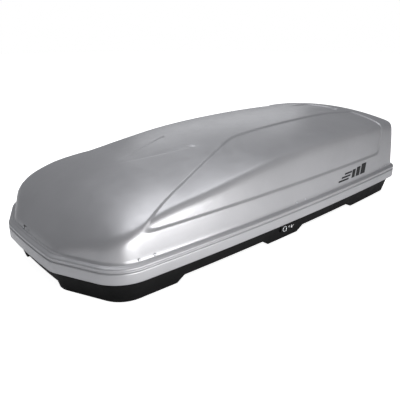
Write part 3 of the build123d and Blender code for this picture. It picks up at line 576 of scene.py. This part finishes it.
class StageSettings(bpy.types.PropertyGroup):
    camera_place: FloatVectorProperty(name="Camera", description="Camera position", size=3, subtype="XYZ",
                                      default=(-1.5006, -1.5467, 0.8845), unit="LENGTH")
    camera_turn: FloatProperty(name="Camera turn",
        description="Azimuth of the view", default=math.radians(-41.377), subtype="ANGLE")
    camera_rise: FloatProperty(name="Camera rise",
        description="Elevation of the view", default=math.radians(21.153), subtype="ANGLE")
    camera_lens: FloatProperty(name="Lens", description="Focal length in millimetres", default=40.93)
    key_watts: FloatProperty(name="Key light", description="Power of the side light, watts", default=22.0)
    fill_watts: FloatProperty(name="Fill light",
        description="Power of the overhead light, watts", default=70.0)
    back_watts: FloatProperty(name="Back light", description="Power of the light behind, watts", default=9.0)
    floor_glow: FloatProperty(name="Floor glow",
        description="Strength of the floor's own light", default=0.16)
    sky: FloatProperty(name="Sky", description="Strength of the even light", default=0.22)


class BoxSettings(bpy.types.PropertyGroup):
    lid: PointerProperty(type=LidSizes)
    fittings: PointerProperty(type=FittingSizes)
    finishes: PointerProperty(type=Finishes)
    stage: PointerProperty(type=StageSettings)


# ---------------------------------------------------------------- operators
class BOX_OT_lid(bpy.types.Operator):
    """The lid: band, groove and ledge carried round the rim, the scooped dome above, and its inner skin"""

    bl_idname = "box.lid"
    bl_label = "Lid shell"

    def execute(self, context):
        sizes = context.scene.roof_box.lid

        def crowd(back):
            return 2.2 * np.exp(-(((back - 1790) / 70) ** 2)) + 1.2 * np.exp(-(((back - 275) / 60) ** 2))

        x, y, out_x, out_y, length = rim_half(sizes.columns, crowd)
        fine, crowded = dome_grid(x, y, out_x, out_y, length, sizes)
        dome = spread_rows(fine, 1 + 3.2 * crowded, sizes.rows)
        skin_normal = surface_normals(dome)
        skin_normal[[0, -1], :, 1] = 0
        skin_normal[:, -1, 1] = 0
        skin_normal /= np.linalg.norm(skin_normal, axis=-1, keepdims=True)
        inset, rise = np.array(BAND_PROFILE).T
        rim = np.stack((x, y, np.full_like(x, rim_z)), -1)
        outward = np.stack((out_x, out_y, np.zeros_like(x)), -1)
        up = np.array((0, 0, 1.0))
        band = rim[:, None] - outward[:, None] * inset[:, None] + up * rise[:, None]
        outer = both_halves(np.concatenate((band, dome), axis=1))
        inset, rise = np.array(BAND_INSIDE).T
        lining = rim[::3, None] - outward[::3, None] * inset[:, None] + up * rise[:, None]
        rows = np.r_[0:sizes.rows:3]
        if rows[-1] != sizes.rows - 1:
            rows = np.r_[rows, sizes.rows - 1]
        under = dome[::3][:, rows] - sizes.skin * skin_normal[::3][:, rows]
        under[:, -1, 1] = 0
        inner = both_halves(np.concatenate((lining, under), axis=1))

        def numbered(ring, start):
            count, deep = ring.shape[:2]
            index = start + np.arange(count * deep).reshape(count, deep)
            half = count // 2
            index[half + 1:, -1] = index[half - 1:0:-1, -1]
            return wrapped(index)

        outside = numbered(outer, 0)
        inside = numbered(inner, outer.shape[0] * outer.shape[1])
        edge, core = outside[:, 0], inside[:, 0]
        first, last = core[:-1], core[1:]
        fans = [
            np.stack((edge[1::3], edge[:-1:3], first), -1),
            np.stack((edge[3::3], edge[2::3], last), -1),
        ]
        bridge = np.stack((edge[2::3], edge[1:-1:3], first, last), -1)
        faces = [grid_quads(outside), grid_quads(inside)[:, ::-1], bridge] + fans
        points = np.concatenate((outer.reshape(-1, 3), inner.reshape(-1, 3)))
        points, faces = without_unused(points, faces)
        make_piece("lid_surface", points, faces, finish("silver_abs"), "lid", ["lid_shell"])
        return {"FINISHED"}


class BOX_OT_rivets(bpy.types.Operator):
    """Pop rivets with domed, dimpled heads at both ends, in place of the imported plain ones"""

    bl_idname = "box.rivets"
    bl_label = "Rivets"

    def execute(self, context):
        sizes = context.scene.roof_box.fittings
        head, rise = sizes.rivet_head, sizes.rivet_rise
        # radius and depth of one end, as shares of the head's radius and rise
        cap = np.array(((0, 0.42), (0.17, 0.4), (0.22, 0.1), (0.32, 0.0), (0.62, 0.12), (0.86, 0.42),
                        (0.97, 0.74), (1.0, 0.94), (0.95, 1.0), (0.5, 1.0))) * (head, rise)
        for name, axis, across, shift in RIVET_NODES:
            mesh = frame["nodes"][name].data
            spots = np.empty(len(mesh.vertices) * 3)
            mesh.vertices.foreach_get("co", spots)
            spots = spots.reshape(-1, 3) / MM
            spots = spots[np.argsort(spots[:, across])]
            breaks = np.flatnonzero(np.diff(spots[:, across]) > 3) + 1
            parts = []
            for group in np.split(spots, breaks):
                low, high = group.min(0), group.max(0)
                span = high[axis] - low[axis]
                profile = np.concatenate((cap, (cap * (1, -1) + (0, span))[::-1]))
                points, quads = turned_solid(profile, 24)
                # z of the profile becomes the rivet's axis; a cyclic swap keeps the faces outwards
                points = np.roll(points, axis - 2, axis=1)
                middle = (low + high) / 2
                middle[axis] = low[axis]
                middle[0] += shift
                parts.append((points + middle, quads))
            points, quads = joined(parts)
            points, faces = without_unused(points, without_flat_corners(np.concatenate(quads)))
            make_piece(name.replace("_rivets", "_rivet_heads"), points, faces, finish("rivet_aluminium"),
                       NODE_BODY[name], [name])
        return {"FINISHED"}


class BOX_OT_nose(bpy.types.Operator):
    """The nose's locating tongue: a steel strip, widest at its rivets, bent along the lid's inner face"""

    bl_idname = "box.nose"
    bl_label = "Nose tongue"

    def execute(self, context):
        lid = context.scene.roof_box.lid
        low, high = np.array(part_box("nose_locator")) / MM
        # the lid's front wall on the centre line: x for a height, from the first column of its surface
        front = dome_grid(*[part[:2] for part in rim_half(lid.columns)], lid)[0][0]
        z = np.linspace(low[2], high[2], 45)
        wall = np.interp(z, front[:200, 2], front[:200, 0], left=low[0])
        clearance, narrow = 0.4, 0.62
        x = np.maximum(low[0], wall + lid.skin + clearance)
        # running mean of five rows rounds the bend
        x = np.convolve(np.pad(x, 2, mode="edge"), np.full(5, 0.2), mode="valid")
        middle, root = (low[1] + high[1]) / 2, (high[1] - low[1]) / 2
        half = root * (narrow + (1 - narrow) * ease(z - low[2] - 24, 20)) - 4 * (1 - ease(z - low[2] - 2, 6))
        across = np.linspace(-1, 1, 9)[:, None]
        points = np.stack((x + 0 * across, middle + across * half, z + 0 * across), -1)
        quads = grid_quads(np.arange(points[..., 0].size).reshape(points.shape[:2]))
        piece = make_piece("nose_tongue", points, [quads], finish("painted_steel"), "lid",
                           ["nose_locator"])
        thicken(piece, high[0] - low[0])
        piece.modifiers["wall"].offset = -1
        return {"FINISHED"}


class BOX_OT_mark(bpy.types.Operator):
    """A plain side mark of slanted bars that grow rearwards, cut from vinyl and laid on the dome's wall"""

    bl_idname = "box.mark"
    bl_label = "Side mark"

    def execute(self, context):
        sizes, lid = context.scene.roof_box.fittings, context.scene.roof_box.lid
        u, v = np.meshgrid(np.linspace(0, 1, 15), np.linspace(0, 1, 11), indexing="ij")
        parts = []
        for start, width, low, high in MARK_BARS:
            x = sizes.mark_start + sizes.mark_length * (start + width * u) + 16 * (low + (high - low) * v)
            z = sizes.mark_low + sizes.mark_height * (low + (high - low) * v)
            y = lid_wall_y(x, z, lid) - 0.15
            index = np.arange(u.size).reshape(u.shape)
            parts.append((np.stack((x, y, z), -1).reshape(-1, 3), grid_quads(index)))
        points, quads = joined(parts)
        piece = make_piece("side_mark", points, quads, finish("vinyl"), "lid")
        thicken(piece, 0.9)
        return {"FINISHED"}


class BOX_OT_lock(bpy.types.Operator):
    """The lock's rounded bezel and the printed open and closed signs beside it"""

    bl_idname = "box.lock"
    bl_label = "Lock face"

    def execute(self, context):
        low, high = np.array(ring_box) / MM
        middle = (low + high) / 2
        outer, rise = (high[0] - low[0]) / 2, high[1] - low[1]
        section, squareness = 2.1, 0.8
        turn = np.linspace(0, 2 * math.pi, 25)[:-1]
        # bezel: a rounded section, raised towards the barrel, carried round the lock's axis
        radius = outer - section + section * np.sign(np.cos(turn)) * np.abs(np.cos(turn)) ** squareness
        depth = rise / 2 * (1 + np.sign(np.sin(turn)) * np.abs(np.sin(turn)) ** squareness)
        round_turn = np.linspace(0, 2 * math.pi, 73)[:-1, None]
        points = np.stack((middle[0] + radius * np.cos(round_turn), high[1] - depth + 0 * round_turn,
                           middle[2] + radius * np.sin(round_turn)), -1)
        index = wrapped(np.arange(points[..., 0].size).reshape(points.shape[:2]))
        index = np.concatenate((index, index[:, :1]), axis=1)
        make_piece("lock_bezel", points, [grid_quads(index)], finish("chrome"), "tub",
                   ["lock_ring"])
        # signs in X and Z, just proud of the housing's face: an arc with a stroke at its end, a padlock
        # and a slanted stroke
        face = housing_box[0][1] / MM - 0.12
        stroke = 1.5
        arc = np.linspace(math.radians(200), math.radians(-20), 22)
        strips = [
            ribbon(np.stack((-9 + 5.0 * np.cos(arc), 57 + 5.0 * np.sin(arc)), -1), stroke),
            ribbon(((-4.4, 58.6), (-4.4, 55.2), (-4.4, 51.8)), stroke),
            ribbon(((5, 53), (9, 53), (13, 53)), 8.6),
            ribbon(np.stack((9 + 3.1 * np.cos(arc), 58.6 + 3.4 * np.sin(arc)), -1), 1.4),
            ribbon(((18.6, 53.2), (20.6, 57), (22.6, 60.8)), stroke),
        ]
        parts = []
        for strip in strips:
            grid = np.stack((strip[..., 0], np.full(strip.shape[:2], face), strip[..., 1]), -1)
            index = np.arange(grid[..., 0].size).reshape(grid.shape[:2])
            parts.append((grid.reshape(-1, 3), grid_quads(index)))
        points, quads = joined(parts)
        piece = make_piece("lock_signs", points, quads, finish("white_ink"), "tub", smooth=False)
        thicken(piece, 0.5)
        return {"FINISHED"}


class BOX_OT_seal(bpy.types.Operator):
    """The rim's seal: a soft round section, flat underneath, carried round the tub's edge"""

    bl_idname = "box.seal"
    bl_label = "Rim seal"

    def execute(self, context):
        low = np.array(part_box("rim_seal")[0]) / MM
        x, y, out_x, out_y = rim_half(180)[:4]
        half_width, lean, radius, flat = 2.9, 0.12, 3.0, 0.05
        middle = abs(nose_x - low[0]) + radius
        turn = np.linspace(0, 2 * math.pi, 21)[:-1]
        across = half_width * np.cos(turn) * (1 - lean * np.sin(turn))
        up = np.clip(radius + radius * np.sin(turn), flat, None)
        inset = middle + across
        points = np.stack((x[:, None] - out_x[:, None] * inset, y[:, None] - out_y[:, None] * inset,
                           low[2] + up + 0 * x[:, None]), -1)
        ring = both_halves(points)
        index = wrapped(np.arange(ring[..., 0].size).reshape(ring.shape[:2]))
        index = np.concatenate((index, index[:, :1]), axis=1)
        make_piece("seal_bulb", ring, [grid_quads(index)[:, ::-1]], finish("rubber"), "tub",
                   ["rim_seal"])
        return {"FINISHED"}


class BOX_OT_finishes(bpy.types.Operator):
    """Gives every carried-over part its material"""

    bl_idname = "box.finishes"
    bl_label = "Finishes"

    def execute(self, context):
        for name, carried in frame["nodes"].items():
            for start, look in CARRIED_FINISHES:
                if name.startswith(start):
                    carried.data.materials.clear()
                    carried.data.materials.append(finish(look))
                    break
            else:
                raise ValueError("no finish for " + name)
        return {"FINISHED"}


class BOX_OT_stage(bpy.types.Operator):
    """Pale floor, soft lights and the camera"""

    bl_idname = "box.stage"
    bl_label = "Stage"

    def execute(self, context):
        stage = context.scene.roof_box.stage
        # floor: rings of a disc whose radius grows as the square of the row
        spokes, rows, reach, level = 96, 24, 14000, -1.0
        turn = np.linspace(0, 2 * math.pi, spokes + 1)[:-1]
        radius = reach * np.linspace(0, 1, rows + 1)[1:] ** 2
        ring = np.stack((np.cos(turn)[:, None] * radius, np.sin(turn)[:, None] * radius,
                         np.full((spokes, rows), level)), -1)
        index = np.arange(spokes * rows).reshape(spokes, rows)
        centre = np.full(spokes, spokes * rows)
        fan = np.stack((index[:, 0], np.roll(index[:, 0], -1), centre), -1)
        quads = grid_quads(wrapped(index))[:, ::-1]
        material, tree, shader, place = blank("pale studio floor")
        tone = node(tree, "TexNoise", {"Scale": 0.8, "Detail": 3.0}, {"Vector": place})
        colour = node(tree, "Mix", {"data_type": "RGBA"}, {"Factor": tone.outputs["Fac"]})
        colour.inputs[6].default_value = linear("#F4F4F4")
        colour.inputs[7].default_value = linear("#F8F8F8")
        tree.links.new(colour.outputs[2], shader.inputs["Base Color"])
        shader.inputs["Roughness"].default_value = 0.9
        shader.inputs["Specular IOR Level"].default_value = 0.2
        shader.inputs["Emission Color"].default_value = (1, 1, 1, 1)
        seen = node(tree, "LightPath").outputs["Is Camera Ray"]
        # the floor glows a little for every ray, and much more for the camera's
        glow = node(tree, "Math", {"operation": "MULTIPLY_ADD"}, {0: seen})
        glow.inputs[1].default_value = 0.75
        glow.inputs[2].default_value = stage.floor_glow
        tree.links.new(glow.outputs[0], shader.inputs["Emission Strength"])
        points = np.concatenate((ring.reshape(-1, 3), [(0, 0, level)]))
        floor = make_piece("floor", points, [quads, fan], material, None)

        def lamp(name, place, target, width, height, watts, tint):
            light = bpy.data.lights.new(name, "AREA")
            light.shape, light.size, light.size_y = "RECTANGLE", width, height
            light.energy, light.color = watts, tint
            holder = bpy.data.objects.new(name, light)
            context.scene.collection.objects.link(holder)
            aim = Vector(target) - Vector(place)
            holder.visible_camera = False
            facing = aim.to_track_quat("-Z", "Y").to_matrix().to_4x4()
            holder.matrix_world = Matrix.Translation(place) @ facing

        lamp("key", (-0.5, -1.9, 0.13), (-0.5, -0.4, 0.1), 1.8, 0.22, stage.key_watts, (1.0, 0.99, 0.98))
        lamp("top", (-0.1, 0.3, 3.2), (0.0, 0, 0.3), 3.0, 2.4, stage.fill_watts, (0.98, 0.985, 1.0))
        lamp("back", (2.4, 2.7, 1.5), (0.3, 0, 0.4), 2.6, 1.2, stage.back_watts, (0.98, 0.985, 1.0))

        world = bpy.data.worlds.new("studio")
        context.scene.world = world
        world.use_nodes = True
        tree = world.node_tree
        tree.nodes.clear()
        even = node(tree, "Background", {"Color": linear("#F2F4F8"), "Strength": stage.sky})
        plain = node(tree, "Background", {"Color": (1, 1, 1, 1), "Strength": 1.0})
        seen = node(tree, "LightPath").outputs["Is Camera Ray"]
        mixed = node(tree, "MixShader", links={"Fac": seen})
        tree.links.new(even.outputs[0], mixed.inputs[1])
        tree.links.new(plain.outputs[0], mixed.inputs[2])
        node(tree, "OutputWorld", links={"Surface": mixed.outputs[0]})

        lens = bpy.data.cameras.new("camera")
        lens.lens, lens.sensor_width = stage.camera_lens, 36.0
        camera = bpy.data.objects.new("camera", lens)
        context.scene.collection.objects.link(camera)
        a, e = stage.camera_turn, stage.camera_rise
        behind = Vector((math.sin(a) * math.cos(e), -math.cos(a) * math.cos(e), math.sin(e)))
        right = Vector((math.cos(a), math.sin(a), 0))
        axes = Matrix((right, behind.cross(right), behind)).transposed()
        camera.matrix_world = Matrix.Translation(stage.camera_place) @ axes.to_4x4()
        context.scene.camera = camera
        context.scene.view_settings.view_transform = "Standard"
        return {"FINISHED"}


class BOX_PT_sidebar(bpy.types.Panel):
    """Lists the box's sizes, finishes and steps"""

    bl_idname = "BOX_PT_sidebar"
    bl_label = "Roof cargo box"
    bl_space_type = "VIEW_3D"
    bl_region_type = "UI"
    bl_category = "Roof box"

    def draw(self, context):
        for step in STEPS:
            self.layout.operator(step.bl_idname)
        box = context.scene.roof_box
        for group in (box.lid, box.fittings, box.finishes, box.stage):
            column = self.layout.column(align=True)
            for key in group.__annotations__:
                column.prop(group, key)


STEPS = (BOX_OT_finishes, BOX_OT_lid, BOX_OT_rivets, BOX_OT_nose, BOX_OT_mark, BOX_OT_lock, BOX_OT_seal,
         BOX_OT_stage)
CLASSES = (LidSizes, FittingSizes, Finishes, StageSettings, BoxSettings, *STEPS, BOX_PT_sidebar)


def register():
    for made in CLASSES:
        bpy.utils.register_class(made)
    bpy.types.Scene.roof_box = PointerProperty(type=BoxSettings)


def unregister():
    del bpy.types.Scene.roof_box
    for made in reversed(CLASSES):
        bpy.utils.unregister_class(made)


def main():
    register()
    for step in STEPS:
        group, call = step.bl_idname.split(".")
        getattr(getattr(bpy.ops, group), call)()


if __name__ == "__main__":
    main()
